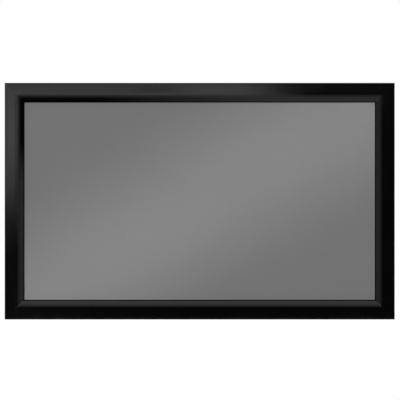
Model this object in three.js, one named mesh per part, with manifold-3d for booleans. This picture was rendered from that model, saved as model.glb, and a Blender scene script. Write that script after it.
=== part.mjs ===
// Fixed frame projection screen, 72 inch 16:9 picture.
// Millimetres, +X to the viewer's right, the screen faces -Y, the wall is at +Y, +Z up.
// The origin is the centre of the box round the whole object.
import * as THREE from 'three';
import { mergeVertices } from 'three/addons/utils/BufferGeometryUtils.js';
import Module from 'manifold-3d';

const wasm = await Module();
wasm.setup();

// Picture and frame face
const PICTURE_W = 1594;
const PICTURE_H = 897;
const FACE_W = 89; // from the outer edge to the picture
const HALF_W = PICTURE_W / 2 + FACE_W;
const HALF_H = PICTURE_H / 2 + FACE_W;
const FIT = 0.3; // clearance between pieces that touch
const EPS = 1; // how far a cutter passes the piece it cuts

// Front of the frame extrusion. Depths run from the front face to the wall.
const WALL_T = 2;
const ARRIS_R = 1.2;
const BEVEL_D = 27; // the bevel falls at 45 degrees, so it is as wide as it is deep
const LAND_W = 3; // flat land at the inner edge
const FLAT_W = FACE_W - LAND_W - BEVEL_D;
const FOLD_R = 36; // outside radius of the soft fold between flat and bevel
const LAND_BACK = BEVEL_D + WALL_T;

// Tension rods, and the sheet with its welded rod pockets
const SHEET_T = 0.5;
const SHEET_Y = LAND_BACK + FIT; // depth of the sheet's front
const ROD_R = 2.5;
const ROD_U = FACE_W - 23; // distance of the rod's centre from the outer edge
const ROD_STOP = FACE_W - 1;
const POCKET_R = ROD_R + FIT;
const HEM_DIP = 0.1; // how deep the hem is sunk in the flat part, where the two are welded
const ROD_Y = SHEET_Y + HEM_DIP + SHEET_T + POCKET_R;
const WELD_START = ROD_U + 8;
const WELD_END = ROD_U + 16;
const HEM_STOP = FACE_W + 6; // the hem stops this far from the outer edge of the frame
const TONGUE_U = ROD_U + SHEET_T; // the panel's edge between its corners
const TONGUE_STOP = FACE_W + 3;
const SHEET_EDGE = FACE_W - 9; // the sheet's edge at its corners
const WINDOW_W = 14; // notch in the hem at each spring
const WINDOW_IN = 6; // how far the notch passes the rod's centre

// Back of the frame extrusion: a lipped channel, and a shelf with a lip for the springs
const BACK_CLEAR = 2; // from the rod pockets to the back of the frame
const RAIL_D = ROD_Y + POCKET_R + SHEET_T + BACK_CLEAR;
const WALL_GAP = 8; // from the back of the frame to the wall
const CHANNEL_D = 7.5;
const FLOOR_T = 1.5;
const CHANNEL_FLOOR = RAIL_D - CHANNEL_D - FLOOR_T; // depth of the floor's front side
const CHANNEL_BED = CHANNEL_FLOOR + FLOOR_T;
const LIP_W = 7; // how far each channel lip reaches in
const LIP_T = 1.5;
const WEB_T = 2;
const SHELF_W = 8;
const LIP_TIP = RAIL_D - 2; // depth of the hook lip's tip
const SPRING_ROOM = 22; // from the hook lip to the rod's centre
const WEB_U = ROD_U - SPRING_ROOM - SHELF_W - WEB_T; // the web's distance from the outer edge
const CHANNEL_W = WEB_U - WALL_T;

// Springs
const LONG_SPRINGS = 6;
const SHORT_SPRINGS = 4;
const END_SPRING = 81; // from the hem's end to the first spring
const WIRE_R = 0.6;
const COIL_R = 3;
const COIL_TURNS = 4;
const COIL_PITCH = 2.6;
const COIL_STEPS = 7; // facets in a turn of the coil
const WIRE_SIDES = 5;
const HOOK_DROP = 3.2; // how far the hook dips in the groove

// Corner brackets and set screws
const BRACKET_T = 3.8;
const BRACKET_LEG = 120;
const BRACKET_Y = RAIL_D - LIP_T - FIT - BRACKET_T; // depth of the bracket's front
const BRACKET_CUT = 6; // chamfer at the ends of the legs
const SCREW_R = 3;
const SCREW_L = 6.5;
const SCREW_AT = [55, 100]; // distances from the outer edge along a leg
const SOCKET_R = 1.75; // across the corners
const SOCKET_D = 3;

// Centre brace
const BRACE_W = 30;
const BRACE_D = 7;
const BRACE_T = 1.5;
const BRACE_STOP = 4; // from the outer edge to the brace's end
const NUT_PLATE_L = 46;
const PAN_R = 4.5;
const PAN_H = 2.4;
const BRACE_SCREW_R = 2.5;
const SCREW_TAIL = 0.5; // how far the screw passes its nut plate

// Wall cleats and bumpers
const CLEAT_X = HALF_W - 326;
const CLEAT_L = 140;
const CLEAT_T = 2;
const CLEAT_H = 62;
const CLEAT_HOOK = 4.5; // height of the upturned hook
const CLEAT_HOLE_R = 2.75;
const CLEAT_HOLE_X = 45;
const BUMPER_X = HALF_W - 266;
const BUMPER_R = 13;
const BUMPER_EDGE = 2;

// Straight cylinder faces are cut in this many facets
const FINE = 16;
const SMALL = 12;

const BLACK = 0x1b1b1c;
const GREY = 0x747474;
const ZINC = 0xa9adb0;
const STEEL = 0xb4b7ba;
const RUBBER = 0x1f1f20;
const RESIN = 0xd9dccb;

const screen = new THREE.Group();
screen.name = 'projection_screen';

function material(color, metalness, roughness) {
  return new THREE.MeshStandardMaterial({ color, metalness, roughness });
}

function add(name, geometry, color, metalness, roughness) {
  const mesh = new THREE.Mesh(geometry, material(color, metalness, roughness));
  mesh.name = name;
  screen.add(mesh);
}

// Boolean helpers
function solid(geometry) {
  const bare = geometry.clone();
  bare.deleteAttribute('normal');
  bare.deleteAttribute('uv');
  const merged = mergeVertices(bare, 1e-4);
  const index = merged.index.array;
  const faces = [];
  for (let i = 0; i < index.length; i += 3) {
    const [a, b, c] = [index[i], index[i + 1], index[i + 2]];
    if (a !== b && b !== c && c !== a) {
      faces.push(a, b, c);
    }
  }
  const body = new wasm.Mesh({
    numProp: 3,
    vertProperties: new Float32Array(merged.attributes.position.array),
    triVerts: new Uint32Array(faces),
  });
  return new wasm.Manifold(body);
}

function geometryOf(body) {
  const mesh = body.getMesh();
  const geometry = new THREE.BufferGeometry();
  geometry.setAttribute('position', new THREE.BufferAttribute(mesh.vertProperties, 3));
  geometry.setIndex(new THREE.BufferAttribute(mesh.triVerts, 1));
  geometry.computeVertexNormals();
  return geometry;
}

function box(x0, x1, y0, y1, z0, z1) {
  const geometry = new THREE.BoxGeometry(x1 - x0, y1 - y0, z1 - z0);
  geometry.translate((x0 + x1) / 2, (y0 + y1) / 2, (z0 + z1) / 2);
  return geometry;
}

// A peg along Y
function peg(radius, y0, y1, x, z, sides) {
  const geometry = new THREE.CylinderGeometry(radius, radius, y1 - y0, sides);
  geometry.translate(x, (y0 + y1) / 2, z);
  return geometry;
}

// Each side of the frame has its own axes: u runs in from the outer edge, v is the depth from the
// front and w runs along the side. This matrix takes (u, v, w) of a side to X, Y and Z.
function sideMatrix(side) {
  const axes = {
    top: [new THREE.Vector3(0, 0, -1), new THREE.Vector3(1, 0, 0), [0, HALF_H]],
    bottom: [new THREE.Vector3(0, 0, 1), new THREE.Vector3(-1, 0, 0), [0, -HALF_H]],
    left: [new THREE.Vector3(1, 0, 0), new THREE.Vector3(0, 0, 1), [-HALF_W, 0]],
    right: [new THREE.Vector3(-1, 0, 0), new THREE.Vector3(0, 0, -1), [HALF_W, 0]],
  };
  const [inward, along, at] = axes[side];
  const matrix = new THREE.Matrix4().makeBasis(inward, new THREE.Vector3(0, 1, 0), along);
  matrix.setPosition(at[0], 0, at[1]);
  return matrix;
}

const SIDES = [
  { side: 'top', name: 'top_rail', half: HALF_W, springs: LONG_SPRINGS },
  { side: 'bottom', name: 'bottom_rail', half: HALF_W, springs: LONG_SPRINGS },
  { side: 'left', name: 'left_stile', half: HALF_H, springs: SHORT_SPRINGS },
  { side: 'right', name: 'right_stile', half: HALF_H, springs: SHORT_SPRINGS },
];

function springPlaces(half, count) {
  const span = 2 * (half - HEM_STOP - END_SPRING);
  return Array.from({ length: count }, (_, i) => (i / (count - 1) - 0.5) * span);
}

// The frame extrusion
function railSection() {
  const half = Math.PI / 8;
  const outerRun = FOLD_R * Math.tan(half);
  const innerR = FOLD_R - WALL_T;
  const innerRun = innerR * Math.tan(half);
  const innerFold = FLAT_W - WALL_T * Math.tan(half);
  const landBevel = FLAT_W + BEVEL_D;
  const bevelBackEnd = landBevel - WALL_T * Math.tan(half);
  const section = new THREE.Shape();
  section.moveTo(WALL_T + LIP_W, RAIL_D);
  section.lineTo(0, RAIL_D);
  section.absarc(ARRIS_R, ARRIS_R, ARRIS_R, Math.PI, Math.PI * 1.5, false);
  section.absarc(FLAT_W - outerRun, FOLD_R, FOLD_R, -Math.PI / 2, -Math.PI / 4, false);
  section.lineTo(landBevel, BEVEL_D);
  section.lineTo(FACE_W, BEVEL_D);
  section.lineTo(FACE_W, LAND_BACK);
  section.lineTo(bevelBackEnd, LAND_BACK);
  section.absarc(innerFold - innerRun, FOLD_R, innerR, -Math.PI / 4, -Math.PI / 2, true);
  section.lineTo(WEB_U + WEB_T, WALL_T);
  section.lineTo(WEB_U + WEB_T, CHANNEL_FLOOR);
  section.lineTo(WEB_U + WEB_T + SHELF_W, CHANNEL_FLOOR);
  section.lineTo(WEB_U + WEB_T + SHELF_W, LIP_TIP);
  section.lineTo(WEB_U + WEB_T + SHELF_W - FLOOR_T, LIP_TIP);
  section.lineTo(WEB_U + WEB_T + SHELF_W - FLOOR_T, CHANNEL_BED);
  section.lineTo(WEB_U + WEB_T, CHANNEL_BED);
  section.lineTo(WEB_U + WEB_T, RAIL_D);
  section.lineTo(WEB_U - LIP_W, RAIL_D);
  section.lineTo(WEB_U - LIP_W, RAIL_D - LIP_T);
  section.lineTo(WEB_U, RAIL_D - LIP_T);
  section.lineTo(WEB_U, CHANNEL_BED);
  section.lineTo(WALL_T, CHANNEL_BED);
  section.lineTo(WALL_T, RAIL_D - LIP_T);
  section.lineTo(WALL_T + LIP_W, RAIL_D - LIP_T);
  const hollow = new THREE.Path();
  hollow.moveTo(WALL_T, WALL_T);
  hollow.lineTo(WEB_U, WALL_T);
  hollow.lineTo(WEB_U, CHANNEL_FLOOR);
  hollow.lineTo(WALL_T, CHANNEL_FLOOR);
  section.holes.push(hollow);
  return section;
}

// A member is the section drawn out to unit length, with each end then moved to its 45 degree mitre
function rail(side, half) {
  const geometry = new THREE.ExtrudeGeometry(railSection(), {
    depth: 1, bevelEnabled: false, curveSegments: 4,
  });
  const p = geometry.attributes.position;
  const mitreGap = FIT * Math.SQRT1_2;
  for (let i = 0; i < p.count; i += 1) {
    const reach = half - p.getX(i) - mitreGap;
    p.setZ(i, p.getZ(i) > 0.5 ? reach : -reach);
  }
  geometry.applyMatrix4(sideMatrix(side));
  return geometry;
}

for (const { side, name, half } of SIDES) {
  add(name, rail(side, half), BLACK, 0.6, 0.35);
}

// The sheet: a flat panel with a welded rod pocket along each side
function panel() {
  const shape = new THREE.Shape();
  const corner = [
    [TONGUE_U, TONGUE_STOP], [SHEET_EDGE, TONGUE_STOP], [SHEET_EDGE, SHEET_EDGE],
    [TONGUE_STOP, SHEET_EDGE], [TONGUE_STOP, TONGUE_U],
  ];
  const turned = [...corner].reverse();
  const points = [
    ...corner.map(([a, b]) => [-HALF_W + a, HALF_H - b]),
    ...turned.map(([a, b]) => [HALF_W - a, HALF_H - b]),
    ...corner.map(([a, b]) => [HALF_W - a, -HALF_H + b]),
    ...turned.map(([a, b]) => [-HALF_W + a, -HALF_H + b]),
  ];
  shape.setFromPoints(points.map(([x, z]) => new THREE.Vector2(x, z)));
  const geometry = new THREE.ExtrudeGeometry(shape, { depth: SHEET_T, bevelEnabled: false });
  geometry.rotateX(Math.PI / 2);
  geometry.translate(0, SHEET_Y + SHEET_T, 0);
  return geometry;
}

// Tangent from a point beyond the rod to the back of a circle round the rod
function tangentAngle(radius, u, v) {
  const du = u - ROD_U;
  const dv = v - ROD_Y;
  return Math.atan2(dv, du) + Math.acos(radius / Math.hypot(du, dv));
}

function hemSection() {
  const back = SHEET_Y + HEM_DIP + SHEET_T;
  const outer = POCKET_R + SHEET_T;
  const weldBack = back + 0.8 * SHEET_T;
  const pocketEnd = WELD_START - 2 * SHEET_T;
  const outerTouch = tangentAngle(outer, WELD_START, weldBack);
  const innerTouch = tangentAngle(POCKET_R, pocketEnd, back);
  const section = new THREE.Shape();
  section.moveTo(WELD_END, SHEET_Y + HEM_DIP);
  section.lineTo(WELD_END, weldBack);
  section.lineTo(WELD_START, weldBack);
  section.absarc(ROD_U, ROD_Y, outer, outerTouch, Math.PI * 1.5, false);
  const pocket = new THREE.Path();
  const touchU = ROD_U + POCKET_R * Math.cos(innerTouch);
  const touchV = ROD_Y + POCKET_R * Math.sin(innerTouch);
  pocket.moveTo(pocketEnd, back);
  pocket.lineTo(touchU, touchV);
  pocket.absarc(ROD_U, ROD_Y, POCKET_R, innerTouch, Math.PI * 1.5, false);
  section.holes.push(pocket);
  return section;
}

function hem(side, half) {
  const length = 2 * (half - HEM_STOP);
  const geometry = new THREE.ExtrudeGeometry(hemSection(), {
    depth: length, bevelEnabled: false, curveSegments: 4,
  });
  geometry.translate(0, 0, -length / 2);
  geometry.applyMatrix4(sideMatrix(side));
  return geometry;
}

function windowCutter(side, place) {
  const from = ROD_U - POCKET_R - SHEET_T - EPS;
  const start = place - WINDOW_W / 2;
  const cutter = box(from, ROD_U + WINDOW_IN, SHEET_Y - EPS, RAIL_D, start, start + WINDOW_W);
  cutter.applyMatrix4(sideMatrix(side));
  return cutter;
}

function sheet() {
  let body = solid(panel());
  for (const { side, half } of SIDES) {
    body = body.add(solid(hem(side, half)));
  }
  for (const { side, half, springs } of SIDES) {
    for (const place of springPlaces(half, springs)) {
      body = body.subtract(solid(windowCutter(side, place)));
    }
  }
  return geometryOf(body);
}

add('projection_sheet', sheet(), GREY, 0, 0.6);

// Tension rods in the pockets
function rod(side, half) {
  const length = 2 * (half - ROD_STOP);
  const geometry = new THREE.CylinderGeometry(ROD_R, ROD_R, length, SMALL);
  geometry.rotateX(Math.PI / 2);
  geometry.translate(ROD_U, ROD_Y, 0);
  geometry.applyMatrix4(sideMatrix(side));
  return geometry;
}

for (const { side, half } of SIDES) {
  add(`${side}_tension_rod`, rod(side, half), RESIN, 0, 0.5);
}

// Extension springs: a coil with an open hook at each end, all one wire
class SpringWire extends THREE.Curve {
  constructor(points) {
    super();
    this.points = points;
  }

  getPoint(t, target = new THREE.Vector3()) {
    const last = this.points.length - 1;
    const at = Math.min(t * last, last);
    const i = Math.min(Math.floor(at), last - 1);
    return target.lerpVectors(this.points[i], this.points[i + 1], at - i);
  }

  // One step of the extrusion for each stretch of the wire
  getUtoTmapping(u) {
    return u;
  }
}

function springPoints() {
  const axisV = ROD_Y + ROD_R + FIT + WIRE_R - COIL_R;
  const lipU = WEB_U + WEB_T + SHELF_W - FLOOR_T;
  const farU = ROD_U + ROD_R + FIT + WIRE_R;
  const coilL = COIL_TURNS * COIL_PITCH;
  const coilU = (lipU + ROD_U) / 2 - coilL / 2;
  const top = axisV + COIL_R;
  const points = [];
  const at = (u, v, w) => points.push(new THREE.Vector3(u, v, w));
  const grooveU = lipU - FIT - WIRE_R;
  const overV = LIP_TIP + FIT + WIRE_R;
  at(grooveU - 0.7 * WIRE_R, LIP_TIP - HOOK_DROP, 0);
  at(grooveU, LIP_TIP - 0.25 * HOOK_DROP, 0);
  at(grooveU + 1.2 * WIRE_R, overV - 0.2 * WIRE_R, 0);
  at(lipU + FLOOR_T + WIRE_R, overV, 0);
  for (let i = 0; i <= COIL_TURNS * COIL_STEPS; i += 1) {
    const turn = (i / COIL_STEPS) * Math.PI * 2;
    at(coilU + (i / COIL_STEPS) * COIL_PITCH, axisV + COIL_R * Math.cos(turn), COIL_R * Math.sin(turn));
  }
  at(ROD_U - 0.2 * ROD_R, top, 0);
  at(ROD_U + 0.76 * ROD_R, top - 0.1 * ROD_R, 0);
  at(farU, ROD_Y + 0.52 * ROD_R, 0);
  at(farU, ROD_Y - 0.52 * ROD_R, 0);
  return points;
}

function spring(side, place) {
  const wire = new THREE.Shape();
  const corners = Array.from({ length: WIRE_SIDES }, (_, i) => {
    const angle = (i / WIRE_SIDES) * Math.PI * 2;
    return new THREE.Vector2(WIRE_R * Math.cos(angle), WIRE_R * Math.sin(angle));
  });
  wire.setFromPoints(corners);
  const points = springPoints();
  const geometry = new THREE.ExtrudeGeometry(wire, {
    steps: points.length - 1, extrudePath: new SpringWire(points), bevelEnabled: false,
  });
  geometry.translate(0, 0, place);
  geometry.applyMatrix4(sideMatrix(side));
  return geometry;
}

for (const { side, half, springs } of SIDES) {
  springPlaces(half, springs).forEach((place, i) => {
    add(`${side}_spring_${i + 1}`, spring(side, place), STEEL, 1, 0.35);
  });
}

// L-shaped corner brackets that slide in the channels of two members
function bracketShape() {
  const near = WALL_T + FIT;
  const far = WEB_U - FIT;
  const cut = BRACKET_CUT;
  const end = near + BRACKET_LEG;
  const shape = new THREE.Shape();
  shape.moveTo(near, near);
  shape.lineTo(end - cut, near);
  shape.lineTo(end, near + cut);
  shape.lineTo(end, far - cut);
  shape.lineTo(end - cut, far);
  shape.lineTo(far, far);
  shape.lineTo(far, end - cut);
  shape.lineTo(far - cut, end);
  shape.lineTo(near + cut, end);
  shape.lineTo(near, end - cut);
  const middle = (near + far) / 2;
  for (const at of SCREW_AT) {
    shape.holes.push(circlePath(at, middle, SCREW_R + FIT, SMALL));
    shape.holes.push(circlePath(middle, at, SCREW_R + FIT, SMALL));
  }
  return shape;
}

function circlePath(x, y, radius, sides) {
  const path = new THREE.Path();
  const points = Array.from({ length: sides }, (_, i) => {
    const angle = (i / sides) * Math.PI * 2;
    return new THREE.Vector2(x + radius * Math.cos(angle), y + radius * Math.sin(angle));
  });
  path.setFromPoints(points);
  return path;
}

const CORNERS = [
  { name: 'top_left', sx: 1, sz: -1 },
  { name: 'top_right', sx: -1, sz: -1 },
  { name: 'bottom_left', sx: 1, sz: 1 },
  { name: 'bottom_right', sx: -1, sz: 1 },
];

// Corner axes: a and b run in from the outer corner along X and Z
function cornerPoint(corner, a, b) {
  return [-corner.sx * (HALF_W - a), -corner.sz * (HALF_H - b)];
}

function bracket(corner) {
  const flat = bracketShape().extractPoints(1);
  const place = ({ x, y }) => new THREE.Vector2(...cornerPoint(corner, x, y));
  const mirrored = corner.sx * corner.sz < 0;
  const turned = (points) => (mirrored ? points.map(place).reverse() : points.map(place));
  const shape = new THREE.Shape(turned(flat.shape));
  shape.holes = flat.holes.map((hole) => new THREE.Path(turned(hole)));
  const geometry = new THREE.ExtrudeGeometry(shape, { depth: BRACKET_T, bevelEnabled: false });
  geometry.rotateX(Math.PI / 2);
  geometry.translate(0, BRACKET_Y + BRACKET_T, 0);
  return geometry;
}

// Set screw with a hexagon socket, seen from the back
function setScrew(x, z) {
  const tip = CHANNEL_BED + FIT;
  const end = tip + SCREW_L;
  const point = 0.2 * SCREW_R;
  const outline = [[0, tip], [SCREW_R - point, tip], [SCREW_R, tip + point], [SCREW_R, end], [0, end]];
  const body = new THREE.LatheGeometry(outline.map(([r, y]) => new THREE.Vector2(r, y)), SMALL);
  body.translate(x, 0, z);
  return geometryOf(solid(body).subtract(solid(peg(SOCKET_R, end - SOCKET_D, end + EPS, x, z, 6))));
}

for (const corner of CORNERS) {
  add(`${corner.name}_corner_bracket`, bracket(corner), ZINC, 1, 0.4);
  const middle = (WALL_T + WEB_U) / 2;
  SCREW_AT.forEach((at, i) => {
    const across = cornerPoint(corner, at, middle);
    const upright = cornerPoint(corner, middle, at);
    add(`${corner.name}_rail_screw_${i + 1}`, setScrew(...across), STEEL, 1, 0.35);
    add(`${corner.name}_stile_screw_${i + 1}`, setScrew(...upright), STEEL, 1, 0.35);
  });
}

// Centre brace: a channel section behind the sheet, open to the wall
function brace() {
  const front = RAIL_D + FIT;
  const half = BRACE_W / 2;
  const shape = new THREE.Shape();
  shape.moveTo(-half, front);
  shape.lineTo(half, front);
  shape.lineTo(half, front + BRACE_D);
  shape.lineTo(half - BRACE_T, front + BRACE_D);
  shape.lineTo(half - BRACE_T, front + BRACE_T);
  shape.lineTo(-half + BRACE_T, front + BRACE_T);
  shape.lineTo(-half + BRACE_T, front + BRACE_D);
  shape.lineTo(-half, front + BRACE_D);
  const length = 2 * (HALF_H - BRACE_STOP);
  const geometry = new THREE.ExtrudeGeometry(shape, { depth: length, bevelEnabled: false });
  geometry.translate(0, 0, -length / 2);
  let body = solid(geometry);
  for (const z of braceScrewHeights()) {
    body = body.subtract(solid(peg(BRACE_SCREW_R + FIT, front - EPS, front + BRACE_T + EPS, 0, z, SMALL)));
  }
  return geometryOf(body);
}

function braceScrewHeights() {
  const middle = (WALL_T + WEB_U) / 2;
  return [HALF_H - middle, -HALF_H + middle];
}

function nutPlate(z) {
  const half = (WEB_U - WALL_T) / 2 - FIT;
  const plate = box(-NUT_PLATE_L / 2, NUT_PLATE_L / 2, BRACKET_Y, BRACKET_Y + BRACKET_T, z - half, z + half);
  const hole = peg(BRACE_SCREW_R + FIT, BRACKET_Y - EPS, BRACKET_Y + BRACKET_T + EPS, 0, z, SMALL);
  return geometryOf(solid(plate).subtract(solid(hole)));
}

function braceScrew(z) {
  const seat = RAIL_D + FIT + BRACE_T + FIT;
  const tail = BRACKET_Y - SCREW_TAIL;
  const outline = [
    [0, tail], [BRACE_SCREW_R, tail], [BRACE_SCREW_R, seat], [PAN_R, seat],
    [PAN_R, seat + PAN_H * 0.6], [PAN_R * 0.75, seat + PAN_H], [0, seat + PAN_H],
  ];
  const body = new THREE.LatheGeometry(outline.map(([r, y]) => new THREE.Vector2(r, y)), SMALL);
  body.translate(0, 0, z);
  const end = seat + PAN_H;
  const socket = peg(SOCKET_R, end - 0.6 * PAN_H, end + EPS, 0, z, 6);
  return geometryOf(solid(body).subtract(solid(socket)));
}

add('centre_brace', brace(), ZINC, 1, 0.4);
['top', 'bottom'].forEach((end, i) => {
  const z = braceScrewHeights()[i];
  add(`${end}_nut_plate`, nutPlate(z), ZINC, 1, 0.4);
  add(`${end}_brace_screw`, braceScrew(z), STEEL, 1, 0.35);
});

// Wall cleats: bent plates whose upturned edge holds the outer lip of the top rail's channel
function cleat(x) {
  const lipEdge = WALL_T + LIP_W;
  const wall = RAIL_D + WALL_GAP;
  const top = lipEdge + FIT;
  const hookBack = RAIL_D - LIP_T - FIT;
  const profile = [
    [wall, top], [wall, top + CLEAT_H], [wall - CLEAT_T, top + CLEAT_H],
    [wall - CLEAT_T, top + CLEAT_T], [hookBack - CLEAT_T, top + CLEAT_T],
    [hookBack - CLEAT_T, top - CLEAT_HOOK], [hookBack, top - CLEAT_HOOK], [hookBack, top],
  ];
  const shape = new THREE.Shape(profile.map(([y, u]) => new THREE.Vector2(y, HALF_H - u)));
  const geometry = new THREE.ExtrudeGeometry(shape, { depth: CLEAT_L, bevelEnabled: false });
  geometry.translate(0, 0, -CLEAT_L / 2);
  const turn = new THREE.Matrix4().makeBasis(
    new THREE.Vector3(0, 1, 0), new THREE.Vector3(0, 0, 1), new THREE.Vector3(1, 0, 0),
  );
  turn.setPosition(x, 0, 0);
  geometry.applyMatrix4(turn);
  let body = solid(geometry);
  const z = HALF_H - top - CLEAT_H * 0.6;
  for (const dx of [-CLEAT_HOLE_X, 0, CLEAT_HOLE_X]) {
    body = body.subtract(solid(peg(CLEAT_HOLE_R, wall - CLEAT_T - EPS, wall + EPS, x + dx, z, SMALL)));
  }
  return geometryOf(body);
}

add('left_wall_cleat', cleat(-CLEAT_X), ZINC, 1, 0.4);
add('right_wall_cleat', cleat(CLEAT_X), ZINC, 1, 0.4);

// Rubber bumpers pressed in the slot of the bottom rail
function bumper(x) {
  const stem = CHANNEL_W / 2 - LIP_W - FIT;
  const wall = RAIL_D + WALL_GAP;
  const seat = RAIL_D + FIT;
  const edge = BUMPER_EDGE;
  const start = CHANNEL_BED + edge;
  const outline = [
    [0, start], [stem - edge / 2, start], [stem, start + edge / 2], [stem, seat], [BUMPER_R, seat],
    [BUMPER_R, wall - edge], [BUMPER_R - 0.3 * edge, wall - 0.3 * edge], [BUMPER_R - edge, wall], [0, wall],
  ];
  const geometry = new THREE.LatheGeometry(outline.map(([r, y]) => new THREE.Vector2(r, y)), FINE);
  geometry.translate(x, 0, -HALF_H + WALL_T + CHANNEL_W / 2);
  return geometry;
}

add('left_bumper', bumper(-BUMPER_X), RUBBER, 0, 0.8);
add('right_bumper', bumper(BUMPER_X), RUBBER, 0, 0.8);

// Depths were counted from the front face, so the whole is moved to put the box's centre at the origin
for (const mesh of screen.children) {
  mesh.geometry.translate(0, -(RAIL_D + WALL_GAP) / 2, 0);
}

export default screen;
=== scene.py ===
import bmesh
import bpy
import numpy as np
from mathutils import Matrix
from mathutils.geometry import tessellate_polygon


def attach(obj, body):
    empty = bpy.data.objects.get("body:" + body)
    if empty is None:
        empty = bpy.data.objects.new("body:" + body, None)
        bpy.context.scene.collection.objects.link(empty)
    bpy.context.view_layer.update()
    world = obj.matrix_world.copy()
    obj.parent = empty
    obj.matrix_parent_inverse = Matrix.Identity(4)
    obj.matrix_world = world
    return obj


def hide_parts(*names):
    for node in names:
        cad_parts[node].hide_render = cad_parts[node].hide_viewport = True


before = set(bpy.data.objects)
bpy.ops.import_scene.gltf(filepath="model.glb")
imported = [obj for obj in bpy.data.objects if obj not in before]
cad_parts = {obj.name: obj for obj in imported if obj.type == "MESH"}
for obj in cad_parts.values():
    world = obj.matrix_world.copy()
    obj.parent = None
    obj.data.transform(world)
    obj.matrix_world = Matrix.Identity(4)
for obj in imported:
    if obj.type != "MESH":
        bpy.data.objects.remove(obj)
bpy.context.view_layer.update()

# Frame members
# Four lengths of one extruded aluminium section, cut to 45 degree mitres and anodised a satin black.
# The section has a wide face, a soft fold to the bevel, a thin land at the picture, and at the back a
# lipped channel for the corner brackets and a shelf whose lip holds the springs.
half_w, half_h, face_w = 886.0, 537.5, 89.0  # millimetres, as all sizes here that don't say otherwise
rail_d, wall_gap, mitre_gap = 38.0, 8.0, .04
half_depth = (rail_d + wall_gap) / 2
wall_t, bevel_d, land_w, fold_r = 2.0, 27.0, 3.0, 36.0
bevel_end, land_back = face_w - land_w, bevel_d + wall_t
flat_w = bevel_end - bevel_d
inner_shift = .83  # how much nearer to the outer edge the bevel is on the inside of the wall
web_u, floor_v, lip_w, lip_t = 36.0, 30.5, 7.0, 1.5
web_in, lip_v = web_u - wall_t, rail_d - lip_t
shelf_u, hook_v = 44.0, 36.0
hook_u = shelf_u - lip_t
matt_middle, matt_reach = .1341, .0039  # metres round the section
sides = {
    "top": ((0, 0, -1), (1, 0, 0), (0, half_h), half_w, "top_rail"),
    "right": ((-1, 0, 0), (0, 0, -1), (half_w, 0), half_h, "right_stile"),
    "bottom": ((0, 0, 1), (-1, 0, 0), (0, -half_h), half_w, "bottom_rail"),
    "left": ((1, 0, 0), (0, 0, 1), (-half_w, 0), half_h, "left_stile"),
}
# Outline of the section: distance in from the outer edge, depth from the front, radius of the corner
section = np.array([
    (0, rail_d, .4), (0, 0, 1.2), (flat_w, 0, fold_r), (bevel_end, bevel_d, .6), (face_w, bevel_d, .7),
    (face_w, land_back, .4), (bevel_end - inner_shift, land_back, .4),
    (flat_w - inner_shift, wall_t, fold_r - wall_t), (web_u, wall_t, .5), (web_u, land_back, .4),
    (shelf_u, land_back, .4), (shelf_u, hook_v, .5), (hook_u, hook_v, .5), (hook_u, floor_v, .3),
    (web_u, floor_v, .4), (web_u, rail_d, .4), (web_in - lip_w, rail_d, .4), (web_in - lip_w, lip_v, .4),
    (web_in, lip_v, .3), (web_in, floor_v, .3), (wall_t, floor_v, .3), (wall_t, lip_v, .3),
    (wall_t + lip_w, lip_v, .4), (wall_t + lip_w, rail_d, .4)])
hollow = np.array([
    (wall_t, wall_t, .5), (wall_t, land_back, .5), (web_in, land_back, .5), (web_in, wall_t, .5)])
black_seen, black_worn = (.0011, .0011, .0012, 1), (.0016, .0016, .0017, 1)


def softened(corners, steps=6):
    """Rounds each corner of a closed outline. The arc touches both edges at the radius divided by the
    tangent of half the corner's angle, and its points turn about its centre from one edge to the other."""
    p, r = corners[:, :2], corners[:, 2:]
    before, after = np.roll(p, 1, 0) - p, np.roll(p, -1, 0) - p
    before /= np.linalg.norm(before, axis=1, keepdims=True)
    after /= np.linalg.norm(after, axis=1, keepdims=True)
    half = np.arccos(np.clip((before * after).sum(1, keepdims=True), -1, 1)) / 2
    middle = (before + after) / np.linalg.norm(before + after, axis=1, keepdims=True)
    centre = p + middle * r / np.sin(half)
    first = p + before * r / np.tan(half) - centre
    last = p + after * r / np.tan(half) - centre
    turn, s = (np.pi - 2 * half)[:, :, None], np.linspace(0, 1, steps)[None, :, None]
    a, b = np.sin((1 - s) * turn) / np.sin(turn), np.sin(s * turn) / np.sin(turn)
    return (centre[:, None] + a * first[:, None] + b * last[:, None]).reshape(-1, 2)


def placed(side, uvw):
    """A point of a side at u in from the outer edge, v deep and w along lies at the side's origin plus u
    times its inward axis plus w times its long axis, with v measured from the front face along Y."""
    inward, along, (x, z), _, _ = sides[side]
    u, v, w = uvw[..., :1], uvw[..., 1:2], uvw[..., 2:]
    flat = np.array((x, 0, z)) + u * np.array(inward) + w * np.array(along)
    return (flat + (v - half_depth) * np.array((0, 1, 0))) / 1000


def loop_faces(start, count, rows):
    """Quads between neighbouring rings of a closed loop: each joins a point, the next one round, and the
    same two on the next ring."""
    i, k = np.arange(count), np.arange(rows - 1)[:, None] * count + start
    nxt = (i + 1) % count
    return np.stack([k + i, k + nxt, k + nxt + count, k + i + count], -1).reshape(-1, 4)


def flat_fill(loops):
    """Triangles that fill an outline less its holes, all turned the same way by the sign of their area."""
    tris = np.array(tessellate_polygon([np.insert(loop, 2, 0, axis=1).tolist() for loop in loops]))
    a, b, c = np.moveaxis(np.concatenate(loops)[tris], 1, 0)
    turned_over = (b - a)[:, 0] * (c - a)[:, 1] < (b - a)[:, 1] * (c - a)[:, 0]
    tris[turned_over] = tris[turned_over][:, ::-1]
    return tris


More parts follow.
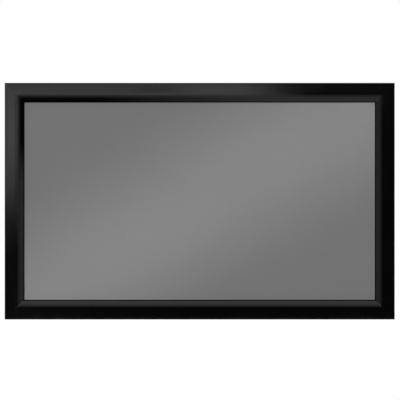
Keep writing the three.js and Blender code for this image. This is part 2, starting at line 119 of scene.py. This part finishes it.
def drawn(outline, hole, ends):
    """A section drawn out along w. Each pair in ends gives w at the start and the end for every point of
    the outline and then of the hole, so a mitre is an end that falls off with u."""
    loops = [outline, hole]
    points = np.concatenate([np.column_stack([loop, w]) for loop, pair in zip(loops, ends) for w in pair])
    n, m = len(outline), len(hole)
    first = np.concatenate([np.arange(n), 2 * n + np.arange(m)])
    last = first + np.repeat((n, m), (n, m))
    cap = flat_fill(loops)
    return points, [loop_faces(0, n, 2), loop_faces(2 * n, m, 2), first[cap[:, ::-1]], last[cap]]


def way_round(loop):
    """How far round a loop each of its points lies: the sum of the steps up to it."""
    return np.cumsum(np.linalg.norm(np.diff(loop, axis=0, prepend=loop[:1]), axis=1))


def piece(name, points, faces, finish, record_slot, *nodes, uv=None, sharp=32):
    """Makes the mesh from its points and arrays of faces, rounds its shading where faces meet under the
    sharp angle, and puts it in the object."""
    mesh = bpy.data.meshes.new(name)
    mesh.from_pydata(np.asarray(points).tolist(), [], [face for some in faces for face in some.tolist()])
    mesh.polygons.foreach_set("use_smooth", np.ones(len(mesh.polygons), bool))
    mesh.set_sharp_from_angle(angle=np.radians(sharp))
    if uv is not None:
        corner = np.zeros(len(mesh.loops), int)
        mesh.loops.foreach_get("vertex_index", corner)
        along = mesh.uv_layers.new(name="along")
        along.data.foreach_set("uv", np.asarray(uv)[corner].astype(np.float32).ravel())
    mesh.materials.append(finish)
    made = bpy.data.objects.new(name, mesh)
    bpy.context.scene.collection.objects.link(made)
    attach(made, "root")
    if nodes:
        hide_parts(*nodes)
    return made


def new_finish(name, **fixed):
    """A Principled finish. The keyword values are set on its own sockets."""
    finish = bpy.data.materials.new(name)
    finish.use_nodes = True
    tree = finish.node_tree
    shader = tree.nodes["Principled BSDF"]
    for socket, value in fixed.items():
        shader.inputs[socket.replace("_", " ")].default_value = value
    return finish, tree, shader


def in_object(tree):
    """A point's place in the object, in metres."""
    return tree.nodes.new("ShaderNodeTexCoord").outputs["Object"]


def along_piece(tree):
    """The piece's own map: metres along it and metres across or round it."""
    uv = tree.nodes.new("ShaderNodeUVMap")
    uv.uv_map = "along"
    return uv.outputs["UV"]


def parted(tree, vector):
    """The three parts of a vector."""
    split = tree.nodes.new("ShaderNodeSeparateXYZ")
    tree.links.new(vector, split.inputs[0])
    return split.outputs


def worked(tree, operation, *given):
    """One operation on numbers or on what other nodes give."""
    node = tree.nodes.new("ShaderNodeMath")
    node.operation = operation
    for socket, value in zip(node.inputs, given):
        if isinstance(value, float):
            socket.default_value = value
        else:
            tree.links.new(value, socket)
    return node.outputs[0]


def noise(tree, vector, scale, detail=3.0, stretch=(1, 1, 1)):
    """Noise on a coordinate that is first stretched along its axes."""
    mapping = tree.nodes.new("ShaderNodeMapping")
    mapping.inputs["Scale"].default_value = stretch
    texture = tree.nodes.new("ShaderNodeTexNoise")
    texture.inputs["Scale"].default_value = scale
    texture.inputs["Detail"].default_value = detail
    tree.links.new(vector, mapping.inputs["Vector"])
    tree.links.new(mapping.outputs["Vector"], texture.inputs["Vector"])
    return texture.outputs["Fac"]


def spread(tree, value, low, high, out_low, out_high):
    """A value between low and high becomes one between out_low and out_high."""
    node = tree.nodes.new("ShaderNodeMapRange")
    for key, number in zip(("From Min", "From Max", "To Min", "To Max"), (low, high, out_low, out_high)):
        node.inputs[key].default_value = number
    tree.links.new(value, node.inputs["Value"])
    return node.outputs["Result"]


def mixed(tree, factor, first, second):
    """Colour that goes from first to second with the factor. A Mix node has its colours at 6 and 7."""
    node = tree.nodes.new("ShaderNodeMix")
    node.data_type = "RGBA"
    for socket, colour in ((node.inputs[6], first), (node.inputs[7], second)):
        if isinstance(colour, tuple):
            socket.default_value = colour
        else:
            tree.links.new(colour, socket)
    tree.links.new(factor, node.inputs[0])
    return node.outputs[2]


def tinted(tree, shader, value, low, high, first, second):
    """The surface's colour goes from first to second as the value goes from low to high."""
    colour = mixed(tree, spread(tree, value, low, high, 0, 1), first, second)
    tree.links.new(colour, shader.inputs["Base Color"])


def roughened(tree, shader, value, low, high, rough_low, rough_high):
    """The surface's roughness follows the value between low and high."""
    tree.links.new(spread(tree, value, low, high, rough_low, rough_high), shader.inputs["Roughness"])


def raised(tree, shader, height, strength, distance, after=None):
    """Bump of the given height, on top of an earlier bump."""
    node = tree.nodes.new("ShaderNodeBump")
    node.inputs["Strength"].default_value = strength
    node.inputs["Distance"].default_value = distance
    tree.links.new(height, node.inputs["Height"])
    if after is not None:
        tree.links.new(after, node.inputs["Normal"])
    tree.links.new(node.outputs["Normal"], shader.inputs["Normal"])
    return node.outputs["Normal"]


def black_anodised():
    """Nearly black oxide over fine die lines that run along each member, with a faint cloudiness. The lip
    at the picture, between 130 and 138 mm round the section, is brushed matt."""
    finish, tree, shader = new_finish("black_anodised", IOR=1.5)
    along, where = along_piece(tree), in_object(tree)
    lines = noise(tree, along, 1.0, 4.0, (1.5, 900, 1))
    cloud, grit = noise(tree, where, 5.0, 4.0), noise(tree, where, 2600.0, 2.0)
    tinted(tree, shader, cloud, .3, .7, black_seen, black_worn)
    rough = worked(tree, "ADD", spread(tree, lines, .3, .7, .16, .19), spread(tree, cloud, .3, .7, -.01, .02))
    tree.links.new(rough, shader.inputs["Roughness"])
    lip = worked(tree, "COMPARE", parted(tree, along)["Y"], matt_middle, matt_reach)
    tree.links.new(spread(tree, lip, 0, 1, .5, .1), shader.inputs["Specular IOR Level"])
    first = raised(tree, shader, lines, .05, .00003)
    raised(tree, shader, grit, .06, .00002, first)
    return finish


anodised = black_anodised()
outline, tube = softened(section, 7), softened(hollow)
for side, (_, _, _, half, node) in sides.items():
    stops = [half - loop[:, 0] - mitre_gap for loop in (outline, tube)]
    points, faces = drawn(outline, tube, [(-stop, stop) for stop in stops])
    across = np.concatenate([way_round(loop) for loop in (outline, outline, tube, tube)])
    piece(f"{node}_member", placed(side, points), faces, anodised, "frame_black", node,
          uv=np.column_stack([points[:, 2], across]) / 1000)

# Corner brackets and set screws
# Flat L brackets of zinc-plated steel that slide in the channels of two members. Four set screws with
# hexagon sockets go through each one, press on the channel's floor and so jam it against the lips.
zinc_bright, zinc_dull = (.62, .64, .66, 1), (.46, .475, .48, 1)
oxide_dark, oxide_worn = (.035, .035, .037, 1), (.09, .088, .085, 1)
plate_edge, set_screw_edge = .0003, .00015  # metres, as the bevel takes them


def eased(node, finish, width):
    """A copy of the made piece with its loose triangles merged and its edges broken by a small bevel."""
    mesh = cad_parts[node].data.copy()
    shape = bmesh.new()
    shape.from_mesh(mesh)
    bmesh.ops.remove_doubles(shape, verts=shape.verts, dist=1e-6)
    bmesh.ops.dissolve_limit(shape, angle_limit=.01, verts=shape.verts, edges=shape.edges)
    shape.to_mesh(mesh)
    shape.free()
    if "custom_normal" in mesh.attributes:
        mesh.attributes.remove(mesh.attributes["custom_normal"])
    mesh.materials.clear()
    mesh.materials.append(finish)
    mesh.polygons.foreach_set("use_smooth", np.ones(len(mesh.polygons), bool))
    made = bpy.data.objects.new(f"{node}_finished", mesh)
    bpy.context.scene.collection.objects.link(made)
    bevel = made.modifiers.new("edges", "BEVEL")
    bevel.width, bevel.segments, bevel.limit_method = width, 2, "ANGLE"
    bevel.angle_limit, bevel.harden_normals = np.radians(40), True
    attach(made, "root")
    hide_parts(node)
    return made


def plated(name, bright, dull, rough):
    """Plating: metal with soft-edged patches, fine scuffs and a roughness that follows the patches."""
    finish, tree, shader = new_finish(name, Metallic=1.0)
    where = in_object(tree)
    patch, scuff = noise(tree, where, 90.0, 5.0), noise(tree, where, 1.0, 5.0, (240, 240, 1900))
    tinted(tree, shader, patch, .35, .65, dull, bright)
    roughened(tree, shader, patch, .35, .65, rough + .08, rough - .05)
    first = raised(tree, shader, scuff, .12, .00004)
    raised(tree, shader, patch, .1, .0001, first)
    return finish


zinc = plated("zinc_plating", zinc_bright, zinc_dull, .34)
oxide = plated("black_oxide", oxide_worn, oxide_dark, .42)
for corner in ("top_left", "top_right", "bottom_left", "bottom_right"):
    eased(f"{corner}_corner_bracket", zinc, plate_edge)
    for member in ("rail", "stile"):
        for number in (1, 2):
            eased(f"{corner}_{member}_screw_{number}", oxide, set_screw_edge)

# Projection sheet
# One cut of PVC film, matt grey on the picture side and black on the wall side. Its edges are folded
# back round the tension rods and welded down, with a notch at each spring, and its corners are cut away.
sheet_t, sheet_v, rod_u, rod_r, rod_v = .5, 29.3, 66.0, 2.5, 32.7
tongue_u, tongue_stop, corner_u, corner_r = 66.5, 92.0, 80.0, 1.0
hem_stop, end_spring, notch_half, notch_u = 95.0, 81.0, 7.0, 72.0
spring_count = {"top": 6, "bottom": 6, "left": 4, "right": 4}
grey_coat, grey_coat_low = (.170, .170, .170, 1), (.163, .163, .163, 1)
black_back, black_back_low = (.020, .020, .021, 1), (.012, .012, .013, 1)


def spring_places(side):
    """Equal steps between the first and the last spring, each the same distance from its end of the hem."""
    span = sides[side][3] - hem_stop - end_spring
    return np.linspace(-span, span, spring_count[side])


def sheet_edge():
    """The cut's outline: along each side a tongue that stops short of the corners, with a notch at each
    spring. All corners of it are a little round."""
    rows = []
    for side, (_, _, _, half, _) in sides.items():
        p = spring_places(side)[:, None]
        along = p + np.array((-1, -1, 1, 1)) * notch_half
        inward = np.broadcast_to((tongue_u, notch_u, notch_u, tongue_u), along.shape)
        notch = np.stack([along, inward], -1).reshape(-1, 2)
        stop = half - tongue_stop
        line = np.concatenate([[(-(half - corner_u), corner_u), (-stop, corner_u), (-stop, tongue_u)], notch,
                               [(stop, tongue_u), (stop, corner_u)]])
        rows.append(placed(side, np.column_stack([line[:, 1], np.zeros(len(line)), line[:, 0]])))
    edge = np.concatenate(rows)[:, [0, 2]] * 1000
    return softened(np.column_stack([edge, np.full(len(edge), corner_r)]), 4)


def picture_film():
    """Matt grey PVC: a fine pressed grain, hardly any sheen, and a tone that drifts a little."""
    finish, tree, shader = new_finish("picture_film", IOR=1.45, Specular_IOR_Level=.12)
    where = in_object(tree)
    drift, grain = noise(tree, where, 2.2, 3.0), noise(tree, where, 1400.0, 3.0)
    tinted(tree, shader, drift, .3, .7, grey_coat_low, grey_coat)
    roughened(tree, shader, grain, .3, .7, .62, .72)
    raised(tree, shader, grain, .08, .00004)
    return finish


def waves(tree, vector, axis, scale, distortion=0.0):
    """Bands of a sine wave across one axis."""
    wave = tree.nodes.new("ShaderNodeTexWave")
    wave.bands_direction = axis
    wave.inputs["Scale"].default_value = scale
    wave.inputs["Distortion"].default_value = distortion
    tree.links.new(vector, wave.inputs["Vector"])
    return wave.outputs["Fac"]


def backing_film():
    """Black backing with the weave of its carrier cloth showing: the higher of two sets of fine waves at
    right angles."""
    finish, tree, shader = new_finish("backing_film", IOR=1.45, Specular_IOR_Level=.3)
    where = in_object(tree)
    weave = worked(tree, "MAXIMUM", *(waves(tree, where, axis, 320.0, .6) for axis in ("X", "Z")))
    drift = noise(tree, where, 6.0, 4.0)
    tinted(tree, shader, drift, .3, .7, black_back_low, black_back)
    roughened(tree, shader, drift, .3, .7, .5, .62)
    raised(tree, shader, weave, .25, .00015)
    return finish


edge = sheet_edge()
count = len(edge)
front, back = sheet_v - half_depth, sheet_v + sheet_t - half_depth
points = np.concatenate([np.insert(edge, 1, front, axis=1), np.insert(edge, 1, back, axis=1)]) / 1000
cap = flat_fill([edge])
faces = [cap, cap[:, ::-1] + count, loop_faces(0, count, 2)]
sheet = piece("sheet", points, faces, picture_film(), "sheet_grey", "projection_sheet")
sheet.data.materials.append(backing_film())
which = np.zeros(len(sheet.data.polygons), np.int32)
which[len(cap):2 * len(cap)] = 1
sheet.data.polygons.foreach_set("material_index", which)

# Rod pockets
# The folded edge of the same film: it goes round the rod, comes back as a slanting layer and ends in a
# strip that is welded to the sheet with a ribbed electrode. Each notch bares the rod for a spring's hook.
pocket_r, pocket_steps = 2.8, 28
weld_start, weld_end, crease = 74.0, 82.0, 1.0
weld_front, weld_middle, weld_back, weld_round = 29.4, 29.9, 30.3, .15
rib_edge = (.0750, .0752)  # metres in from the outer edge, where the ribs set in
grey_pressed = (.15, .15, .15, 1)


def touch(radius, u, v):
    """Angle, about the rod, of the point where a line from (u, v) touches a circle of that radius."""
    du, dv = u - rod_u, v - rod_v
    return np.arctan2(dv, du) + np.arccos(radius / np.hypot(du, dv))


def pocket_section():
    """Outer and inner line of the pocket: an arc round the rod that ends at the film's front, and a
    straight run from the arc to the weld."""
    arcs = []
    inner_end = (weld_start - crease, weld_middle)
    for radius, (u, v) in ((pocket_r + sheet_t, (weld_start, weld_back)), (pocket_r, inner_end)):
        angle = np.linspace(touch(radius, u, v), 1.5 * np.pi, pocket_steps)
        arcs.append(np.column_stack([rod_u + radius * np.cos(angle), rod_v + radius * np.sin(angle)]))
    outer = np.concatenate([[(weld_end, weld_front), (weld_end, weld_back - weld_round),
                             (weld_end - weld_round, weld_back), (weld_start, weld_back)], arcs[0]])
    inner = np.concatenate([[inner_end], arcs[1]])[::-1]
    return outer, inner


def welded_film():
    """The same grey film with the electrode's ribs across the welded strip, which its own map shows."""
    finish, tree, shader = new_finish("welded_film", IOR=1.45, Specular_IOR_Level=.2)
    along, where = along_piece(tree), in_object(tree)
    ribs = waves(tree, along, "X", 210.0)
    strip = spread(tree, parted(tree, along)["Y"], *rib_edge, 0, 1)
    drift, grain = noise(tree, where, 40.0, 4.0), noise(tree, where, 1400.0, 3.0)
    tinted(tree, shader, drift, .3, .7, grey_pressed, grey_coat)
    roughened(tree, shader, drift, .3, .7, .55, .68)
    first = raised(tree, shader, worked(tree, "MULTIPLY", ribs, strip), .8, .0003)
    raised(tree, shader, grain, .08, .00004, first)
    return finish


welded = welded_film()
outer, inner = pocket_section()
for side, (_, _, _, half, _) in sides.items():
    notches = (spring_places(side)[:, None] + (-notch_half, notch_half)).ravel()
    stops = np.concatenate([[hem_stop - half], notches, [half - hem_stop]]).reshape(-1, 2)
    points, faces, base = [], [], 0
    for low, high in stops:
        ends = [(np.full(len(loop), low), np.full(len(loop), high)) for loop in (outer, inner)]
        p, f = drawn(outer, inner, ends)
        points.append(p)
        faces += [some + base for some in f]
        base += len(p)
    points = np.concatenate(points)
    piece(f"{side}_rod_pocket", placed(side, points), faces, welded, "sheet_grey",
                         uv=points[:, [2, 0]] / 1000)

# Tension rods
# Round pultruded glass fibre rods, sawn to length with a small chamfer at each end. One lies in each of
# the four pockets, and the springs pull at it through the notches.
rod_stop, rod_chamfer, rod_tip, rod_steps = 88.0, .4, .2, 24
resin_light, resin_dark = (.60, .61, .47, 1), (.42, .44, .31, 1)


def tube_faces(count, rows):
    """Quads between the rings of a tube, and one face over each of its ends."""
    last = (rows - 1) * count
    return [loop_faces(0, count, rows), np.array([np.arange(count)[::-1], np.arange(last, last + count)])]


def turned(profile, steps):
    """A profile of radius and height turned about its height axis, so each ring's points lie at the radius
    times the cosine and the sine of equal angles. The first and last ring are small and are closed."""
    angle = np.arange(steps) / steps * 2 * np.pi
    r, h = profile[:, :1], profile[:, 1:]
    ring = np.stack([r * np.cos(angle), r * np.sin(angle), np.broadcast_to(h, (len(profile), steps))], -1)
    return ring.reshape(-1, 3), tube_faces(steps, len(profile))


def pultruded():
    """Pale resin over glass strands that run the length of the rod."""
    finish, tree, shader = new_finish("glass_fibre_rod", IOR=1.52, Coat_Weight=.2)
    strands = noise(tree, along_piece(tree), 1.0, 4.0, (14, 1400, 1))
    tinted(tree, shader, strands, .35, .65, resin_dark, resin_light)
    roughened(tree, shader, strands, .3, .7, .32, .48)
    raised(tree, shader, strands, .2, .00005)
    return finish


resin = pultruded()
for side, (_, _, _, half, _) in sides.items():
    end, neck = half - rod_stop, rod_r - rod_chamfer
    profile = np.array([(rod_tip, -end), (neck, -end), (rod_r, rod_chamfer - end), (rod_r, end - rod_chamfer),
                        (neck, end), (rod_tip, end)])
    points, faces = turned(profile, rod_steps)
    angle = np.arctan2(points[:, 1], points[:, 0])
    points = points + (rod_u, rod_v, 0)
    piece(f"{side}_tension_rod_finished", placed(side, points), faces, resin, "rod_fibreglass",
          f"{side}_tension_rod", uv=np.column_stack([points[:, 2], np.abs(angle) * rod_r]) / 1000)

# Springs
# Extension springs of 1.2 mm drawn wire. One hook goes over the lip of the frame's shelf and the other
# round the tension rod, so the coil between them pulls the sheet flat.
wire_r, coil_r, coil_turns, coil_l, hook_play = .6, 3.0, 7, 10.4, .3
hook_steps, coil_steps, run_steps, bend_steps, wire_steps = 30, 22, 6, 14, 8
hook_turn = np.radians((90, -25))
blend_reach, blend_rounds = 3.5, 4
wire_bright, wire_dull = (.66, .665, .67, 1), (.44, .445, .45, 1)


def wire_line():
    """The wire's centre: a spline through the hook in the groove, a helix of equal turns about an axis
    along u, a straight run and an arc round the rod. Near the helix's ends the line is averaged with its
    neighbours, so that it bends instead of breaking. The second result is the outward direction of the
    coil, and none elsewhere."""
    bend_r = rod_r + hook_play + wire_r
    top = rod_v + bend_r
    start = (hook_u + rod_u) / 2 - coil_l / 2
    knots = np.array([(hook_u - 1.32, hook_v - 3.2), (hook_u - .9, hook_v - .8), (hook_u - .18, hook_v + .78),
                      (hook_u + lip_t + .6, hook_v + .9), (start, top)])
    slope = np.gradient(knots, axis=0)
    t = np.linspace(0, len(knots) - 1.001, hook_steps)
    k, s = t.astype(int), (t % 1)[:, None]
    hook = ((1 + 2 * s) * (1 - s) ** 2 * knots[k] + s * (1 - s) ** 2 * slope[k]
            + s * s * (3 - 2 * s) * knots[k + 1] + s * s * (s - 1) * slope[k + 1])
    turn = np.linspace(0, coil_turns * 2 * np.pi, coil_turns * coil_steps)
    outward = np.column_stack([0 * turn, np.cos(turn), np.sin(turn)])
    axis = np.column_stack([start + coil_l * turn / turn[-1], 0 * turn + top - coil_r, 0 * turn])
    helix = axis + coil_r * outward
    run = np.column_stack([np.linspace(start + coil_l + .9, rod_u - .7, run_steps), np.full(run_steps, top)])
    angle = np.linspace(*hook_turn, bend_steps)
    bend = np.column_stack([rod_u + bend_r * np.cos(angle), rod_v + bend_r * np.sin(angle)])
    before, after = np.insert(hook, 2, 0, axis=1), np.insert(np.concatenate([run, bend]), 2, 0, axis=1)
    line = np.concatenate([before, helix, after])
    out = np.concatenate([0 * before, outward, 0 * after])
    index = np.arange(len(line))
    ends = (len(before), len(before) + len(helix))
    near = np.maximum(*(np.exp(-((index - place) / blend_reach) ** 2) for place in ends))
    for _ in range(blend_rounds):
        mean = (np.roll(line, 1, 0) + np.roll(line, -1, 0)) / 2
        mean[0], mean[-1] = line[0], line[-1]
        line = line + near[:, None] * (mean - line) * .5
    return line, out


def wire(line, out):
    """Rings of equal radius about the line. Each ring's first direction is the outward one of the coil, or
    in a hook the one square to the line in the hook's own plane."""
    ahead = np.gradient(line, axis=0)
    ahead /= np.linalg.norm(ahead, axis=1, keepdims=True)
    flat = np.linalg.norm(out, axis=1) == 0
    out = np.where(flat[:, None], np.cross((0, 0, 1), ahead), out)
    out = out - (out * ahead).sum(1, keepdims=True) * ahead
    out /= np.linalg.norm(out, axis=1, keepdims=True)
    across = np.cross(ahead, out)
    angle = np.arange(wire_steps)[:, None] / wire_steps * 2 * np.pi
    ring = line[:, None] + wire_r * (np.cos(angle) * out[:, None] + np.sin(angle) * across[:, None])
    return ring.reshape(-1, 3), tube_faces(wire_steps, len(line))


drawn_wire = plated("drawn_wire", wire_bright, wire_dull, .26)
spring_points, spring_faces = wire(*wire_line())
for side in sides:
    for number, place in enumerate(spring_places(side), 1):
        piece(f"{side}_spring_{number}_coil", placed(side, spring_points + (0, 0, place)), spring_faces,
              drawn_wire, "spring_steel", f"{side}_spring_{number}", sharp=60)

# Centre brace
# A mill-finish aluminium channel behind the sheet that keeps the long rails from bowing. A pan head
# screw at each end holds it to a nut plate in the rail's channel.
mill_light, mill_dark = (.68, .69, .70, 1), (.56, .57, .58, 1)
brace_screw_edge = .0002  # metres


def mill_finish():
    """Bare extruded aluminium: lines along its length, and a bloom that varies."""
    finish, tree, shader = new_finish("mill_finish", Metallic=1.0)
    where = in_object(tree)
    lines, bloom = noise(tree, where, 1.0, 4.0, (1600, 1600, 3)), noise(tree, where, 30.0, 4.0)
    tinted(tree, shader, bloom, .35, .65, mill_dark, mill_light)
    roughened(tree, shader, lines, .3, .7, .3, .44)
    raised(tree, shader, lines, .15, .00004)
    return finish


eased("centre_brace", mill_finish(), plate_edge)
for end in ("top", "bottom"):
    eased(f"{end}_nut_plate", zinc, plate_edge)
    eased(f"{end}_brace_screw", oxide, brace_screw_edge)

# Wall cleats
# Bent strips of zinc-plated steel, screwed to the wall. The upturned edge stands in the top rail's
# channel, behind its outer lip, and carries the screen.
cleat_edge = .0005  # metres
for hand in ("left", "right"):
    eased(f"{hand}_wall_cleat", zinc, cleat_edge)

# Bumpers
# Moulded rubber buttons with a stem that is pressed in the slot of the bottom rail. They rest on the
# wall and keep the screen parallel to it.
bumper_x, bumper_u, bumper_r, bumper_round, bumper_steps = 620.0, 18.0, 13.0, 2.0, 40
stem_r, stem_v, stem_chamfer, bumper_tip = 8.7, 32.5, 1.0, .3
head_v, head_chamfer = 38.3, .3
rubber_black, rubber_dusty = (.018, .018, .018, 1), (.034, .034, .033, 1)


def moulded_rubber():
    """Matt black rubber with a fine tooth and a dusty bloom."""
    finish, tree, shader = new_finish("moulded_rubber", IOR=1.5, Specular_IOR_Level=.4)
    where = in_object(tree)
    bloom, tooth = noise(tree, where, 60.0, 4.0), noise(tree, where, 2200.0, 2.0)
    tinted(tree, shader, bloom, .3, .7, rubber_black, rubber_dusty)
    roughened(tree, shader, bloom, .3, .7, .6, .78)
    raised(tree, shader, tooth, .25, .0001)
    return finish


rubber = moulded_rubber()
wall_v = rail_d + wall_gap
arc = np.linspace(0, np.pi / 2, 7)
crown = np.column_stack([bumper_r - bumper_round + bumper_round * np.cos(arc),
                         wall_v - bumper_round + bumper_round * np.sin(arc)])
profile = np.concatenate([
    [(bumper_tip, stem_v), (stem_r - stem_chamfer, stem_v), (stem_r, stem_v + stem_chamfer), (stem_r, head_v),
     (bumper_r - head_chamfer, head_v), (bumper_r, head_v + head_chamfer)], crown, [(bumper_tip, wall_v)]])
button, faces = turned(profile, bumper_steps)
for hand, x in (("left", -bumper_x), ("right", bumper_x)):
    points = np.column_stack([bumper_u - button[:, 1], button[:, 2], -button[:, 0] - x])
    piece(f"{hand}_bumper_moulded", placed("bottom", points), faces, rubber, "bumper_rubber", f"{hand}_bumper")

# Camera
# A long lens straight in front, 20 m away, so the sides of the frame don't show.
bpy.context.scene.view_settings.view_transform = "Standard"
lens = bpy.data.cameras.new("camera")
lens.lens, lens.sensor_width, lens.clip_end = 395.7, 36.0, 100.0
camera = bpy.data.objects.new("camera", lens)
camera.location = (.0014, -20.0, .0054)
camera.rotation_euler = (np.pi / 2, 0, 0)
bpy.context.scene.collection.objects.link(camera)
bpy.context.scene.camera = camera

# Studio
# A pale floor well under the hung screen, a white surround, soft lamps, and a long strip lamp that lays the
# slanting sheen on the picture. What the frame mirrors is shaped by cards that only gloss sees: flags near
# the camera for the flat faces, and four doors that stand close along the bevels.
floor_z, floor_half = -1.3, 4.0
floor_white = (1.7, 3.6)  # from here to here, from the object's middle, the floor goes over into white
surround_light = .45


def stand(name, corners, finish):
    """A flat card through its corners, which isn't part of the object."""
    mesh = bpy.data.meshes.new(name)
    mesh.from_pydata(corners, [], [tuple(range(len(corners)))])
    mesh.materials.append(finish)
    made = bpy.data.objects.new(name, mesh)
    bpy.context.scene.collection.objects.link(made)
    return made


def gloss_card(name, corners, axis="X", fade=(0, 1), glow=(0, 0), near_fade=(0, 1), near_glow=None,
               share=(-.08, -.01)):
    """A card seen in gloss alone. Its glow goes from one value to another between two places of its axis.
    Where it has a near glow, that takes over evenly between the two depths of share. Rays that graze the
    card pass through it."""
    finish, tree, shader = new_finish(name, Roughness=1.0, Specular_IOR_Level=0.0, Emission_Strength=1.0)
    shader.inputs["Base Color"].default_value = (0, 0, 0, 1)
    place = parted(tree, in_object(tree))
    shown = spread(tree, place[axis], *fade, *glow)
    if near_glow:
        near = spread(tree, place[axis], *near_fade, *near_glow)
        shown = mixed(tree, spread(tree, place["Y"], *share, 0, 1), shown, near)
    tree.links.new(shown, shader.inputs["Emission Color"])
    edge_on = tree.nodes.new("ShaderNodeLayerWeight").outputs["Facing"]
    gone = tree.nodes.new("ShaderNodeMixShader")
    tree.links.new(spread(tree, edge_on, .88, .95, 0, 1), gone.inputs[0])
    tree.links.new(shader.outputs[0], gone.inputs[1])
    tree.links.new(tree.nodes.new("ShaderNodeBsdfTransparent").outputs[0], gone.inputs[2])
    tree.links.new(gone.outputs[0], tree.nodes["Material Output"].inputs["Surface"])
    made = stand(name, corners, finish)
    made.visible_camera = made.visible_diffuse = made.visible_shadow = made.visible_transmission = False


def seen_only(tree):
    """One for the rays that see the background, straight or in gloss or glass, and none for light."""
    rays = tree.nodes.new("ShaderNodeLightPath").outputs
    straight_or_gloss = worked(tree, "MAXIMUM", rays["Is Camera Ray"], rays["Is Glossy Ray"])
    return worked(tree, "MAXIMUM", straight_or_gloss, rays["Is Transmission Ray"])


def pale_floor():
    """Pale paint that goes over into the white surround with the distance from the object's middle."""
    finish, tree, shader = new_finish("floor_paint", Base_Color=(.8, .8, .8, 1), Roughness=.9,
                                      Specular_IOR_Level=0.0)
    away = tree.nodes.new("ShaderNodeVectorMath")
    away.operation = "LENGTH"
    tree.links.new(in_object(tree), away.inputs[0])
    white = worked(tree, "MULTIPLY", spread(tree, away.outputs["Value"], *floor_white, 0, 1), seen_only(tree))
    shader.inputs["Emission Color"].default_value = (1, 1, 1, 1)
    tree.links.new(white, shader.inputs["Emission Strength"])
    return finish


def upright(left, right, low, high, y):
    """Corners of an upright card that faces the screen at one depth."""
    return [(left, y, low), (right, y, low), (right, y, high), (left, y, high)]


def door(x, z, far_x, far_z):
    """Corners of a card along a bevel, from one place of the frame to the other. It starts close to the
    frame, and leans outwards as it comes forward: every place is there times the lean."""
    close, forward, lean = .005, -2.1, 1.105
    return [(x * lean, forward, z * lean), (x, close, z),
            (far_x, close, far_z), (far_x * lean, forward, far_z * lean)]


stand("floor", [(-floor_half, -floor_half, floor_z), (floor_half, -floor_half, floor_z),
                (floor_half, floor_half, floor_z), (-floor_half, floor_half, floor_z)], pale_floor())
flag_y, card_y, wide, low, high = -2.2, -2.15, 2.3, -1.2, 1.6
gloss_card("right_front_flag", upright(.36, wide, low, high, flag_y))
gloss_card("left_front_flag", upright(-wide, -.65, low, 0, flag_y))
gloss_card("top_front_flag", upright(-wide, .36, 1.05, high, flag_y))
gloss_card("middle_flag", upright(-.65, .36, low, .2, flag_y))
gloss_card("left_glow", upright(-1.3, -.8, .22, .5, card_y), glow=(1.5, 1.5))
gloss_card("top_glow", upright(-.02, .26, .3, .9, card_y), glow=(1.3, 1.3))
gloss_card("top_flag", upright(-.3, -.16, .3, .9, card_y), glow=(.3, .3))
in_x, in_z, end_x, end_z = .790, .4415, .842, .4935
gloss_card("left_door", door(-in_x, -end_z, -in_x, end_z), axis="Z", fade=(-.2, .25), glow=(.02, .85),
           near_fade=(.08, .27), near_glow=(.34, 0))
gloss_card("right_door", door(in_x, -end_z, in_x, end_z), near_glow=(.33, .33))
gloss_card("top_door", door(end_x, in_z, -end_x, in_z), axis="X", fade=(.2, .5), glow=(1, 0),
           near_fade=(-.45, .31), near_glow=(0, .49), share=(-.13, -.012))
gloss_card("bottom_door", door(end_x, -in_z, -end_x, -in_z), near_glow=(.71, .71))


def lamp(name, at, towards, width, height, watts, roll=0.0, beam=180.0):
    """A rectangular lamp that points from one place to another. Gloss doesn't show it."""
    light = bpy.data.lights.new(name, "AREA")
    light.shape, light.size, light.size_y, light.energy = "RECTANGLE", width, height, watts
    light.spread = np.radians(beam)
    made = bpy.data.objects.new(name, light)
    ahead = np.array(towards, float) - np.array(at, float)
    ahead /= np.linalg.norm(ahead)
    level = np.cross(ahead, (0, 0, 1))
    level /= np.linalg.norm(level)
    up = np.cross(level, ahead)
    x_axis = np.cos(roll) * level + np.sin(roll) * up
    y_axis = np.cross(-ahead, x_axis)
    made.matrix_world = Matrix([[x_axis[k], y_axis[k], -ahead[k], at[k]] for k in range(3)] + [[0, 0, 0, 1]])
    made.visible_camera = made.visible_glossy = False
    bpy.context.scene.collection.objects.link(made)


lamp("left_lamp", (-4, -7, 1.8), (0, 0, 0), 3, 3, 225)
lamp("right_lamp", (4, -7, 1.2), (0, 0, 0), 3, 3, 178)
lamp("back_lamp", (1.5, 3.2, 2.4), (0, 0, 0), 2, 2, 110)
lamp("strip_lamp", (-.08, -1.2, -.05), (-.08, 0, -.05), 3, .16, 1.85, roll=np.radians(30.5), beam=43)

world = bpy.data.worlds.new("surround")
bpy.context.scene.world = world
world.use_nodes = True
tree = world.node_tree
background = tree.nodes["Background"].inputs
background["Color"].default_value = (1, 1, 1, 1)
tree.links.new(spread(tree, seen_only(tree), 0, 1, surround_light, 1), background["Strength"])
